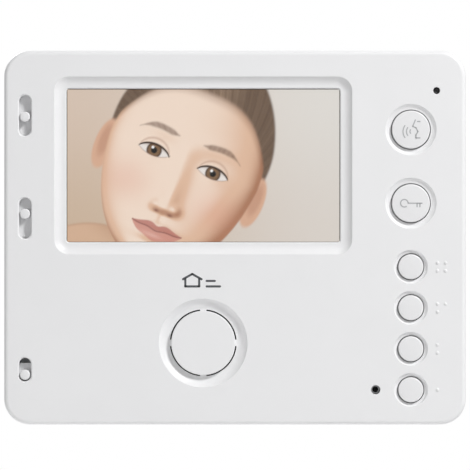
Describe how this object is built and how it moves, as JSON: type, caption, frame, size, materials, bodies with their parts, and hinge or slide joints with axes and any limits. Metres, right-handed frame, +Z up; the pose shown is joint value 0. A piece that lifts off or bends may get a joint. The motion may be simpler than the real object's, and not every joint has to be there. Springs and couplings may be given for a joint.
{
  "type": "video intercom monitor",
  "caption": "Wall-mounted hands-free video intercom monitor: white case, landscape screen, loudspeaker dish, column of round buttons and side sliders, on a hook-on steel bracket.",
  "frame": {"origin": "on the wall plane, at the back face of the wall bracket, behind the middle of the monitor", "axes": "+Z up, +X to the right of a person facing the monitor, front towards -Y, wall towards +Y"},
  "size_m": [0.16, 0.0264, 0.1296],
  "materials": {
    "white_abs": "semi-gloss moulded, light grey-white",
    "key_abs": "semi-gloss moulded, white",
    "inner_abs": "matt moulded",
    "clear_acrylic": "polished clear acrylic",
    "screen_glass": "lit display glass",
    "backlight_white": "diffuser film",
    "tin_plate": "tinned sheet",
    "zinc_steel": "zinc-plated",
    "green_laminate": "solder mask over glass laminate",
    "chip_black": "moulded",
    "ferrite": "matt ferrite",
    "black_foam": "closed-cell foam",
    "black_rubber": "matt",
    "paper_cone": "treated paper",
    "terminal_green": "moulded",
    "amber_film": "polyimide film",
    "smoked_lens": "polished, smoked",
    "led_epoxy": "clear tinted epoxy",
    "wire_black": "insulated lead"
  },
  "bodies": {
    "monitor": {"board_screw_1": "zinc_steel", "board_screw_2": "zinc_steel", "board_screw_3": "zinc_steel", "board_screw_4": "zinc_steel", "brightness_control": "tin_plate", "case_screw_1": "zinc_steel", "case_screw_2": "zinc_steel", "case_screw_3": "zinc_steel", "case_screw_4": "zinc_steel", "display_backlight": "backlight_white", "display_bezel": "tin_plate", "display_holder": "inner_abs", "display_panel": "screen_glass", "display_ribbon": "amber_film", "display_window": "clear_acrylic", "door_release_switch": "chip_black", "filter_capacitor": "wire_black", "front_cover": "white_abs", "function_1_switch": "chip_black", "function_2_switch": "chip_black", "function_3_switch": "chip_black", "function_4_switch": "chip_black", "lamp_lens": "smoked_lens", "main_board": "green_laminate", "microphone_boot": "black_rubber", "microphone_capsule": "tin_plate", "microphone_lead": "wire_black", "power_inductor": "ferrite", "rear_housing": "white_abs", "ribbon_connector": "inner_abs", "ringtone_control": "tin_plate", "speaker_cone": "paper_cone", "speaker_frame": "zinc_steel", "speaker_gasket": "black_foam", "speaker_lead": "wire_black", "speaker_magnet": "ferrite", "status_lamp": "led_epoxy", "talk_switch": "chip_black", "terminal_block": "terminal_green", "video_processor": "chip_black", "volume_control": "tin_plate", "wall_bracket": "zinc_steel"},
    "talk_key": {"talk_button": "key_abs", "talk_plunger": "chip_black"},
    "door_release_key": {"door_release_button": "key_abs", "door_release_plunger": "chip_black"},
    "function_1_key": {"function_1_button": "key_abs", "function_1_plunger": "chip_black"},
    "function_2_key": {"function_2_button": "key_abs", "function_2_plunger": "chip_black"},
    "function_3_key": {"function_3_button": "key_abs", "function_3_plunger": "chip_black"},
    "function_4_key": {"function_4_button": "key_abs", "function_4_plunger": "chip_black"},
    "brightness_knob": {"brightness_slider": "key_abs", "brightness_lever": "chip_black"},
    "volume_knob": {"volume_slider": "key_abs", "volume_lever": "chip_black"},
    "ringtone_knob": {"ringtone_slider": "key_abs", "ringtone_lever": "chip_black"}
  },
  "joints": [
    {"name": "talk_press", "type": "slide", "parent": "monitor", "child": "talk_key", "axis": [0, 1, 0], "range_m": [0, 0.0005], "stiffness_N_per_m": 3000, "springref_m": -0.0002},
    {"name": "door_release_press", "type": "slide", "parent": "monitor", "child": "door_release_key", "axis": [0, 1, 0], "range_m": [0, 0.0005], "stiffness_N_per_m": 3000, "springref_m": -0.0002},
    {"name": "function_1_press", "type": "slide", "parent": "monitor", "child": "function_1_key", "axis": [0, 1, 0], "range_m": [0, 0.0005], "stiffness_N_per_m": 3000, "springref_m": -0.0002},
    {"name": "function_2_press", "type": "slide", "parent": "monitor", "child": "function_2_key", "axis": [0, 1, 0], "range_m": [0, 0.0005], "stiffness_N_per_m": 3000, "springref_m": -0.0002},
    {"name": "function_3_press", "type": "slide", "parent": "monitor", "child": "function_3_key", "axis": [0, 1, 0], "range_m": [0, 0.0005], "stiffness_N_per_m": 3000, "springref_m": -0.0002},
    {"name": "function_4_press", "type": "slide", "parent": "monitor", "child": "function_4_key", "axis": [0, 1, 0], "range_m": [0, 0.0005], "stiffness_N_per_m": 3000, "springref_m": -0.0002},
    {"name": "brightness_slide", "type": "slide", "parent": "monitor", "child": "brightness_knob", "axis": [0, 0, 1], "range_m": [-0.00453, 0.00543]},
    {"name": "volume_slide", "type": "slide", "parent": "monitor", "child": "volume_knob", "axis": [0, 0, 1], "range_m": [-0.00653, 0.00343]},
    {"name": "ringtone_slide", "type": "slide", "parent": "monitor", "child": "ringtone_knob", "axis": [0, 0, 1], "range_m": [-0.0002, 0.0038]}
  ]
}
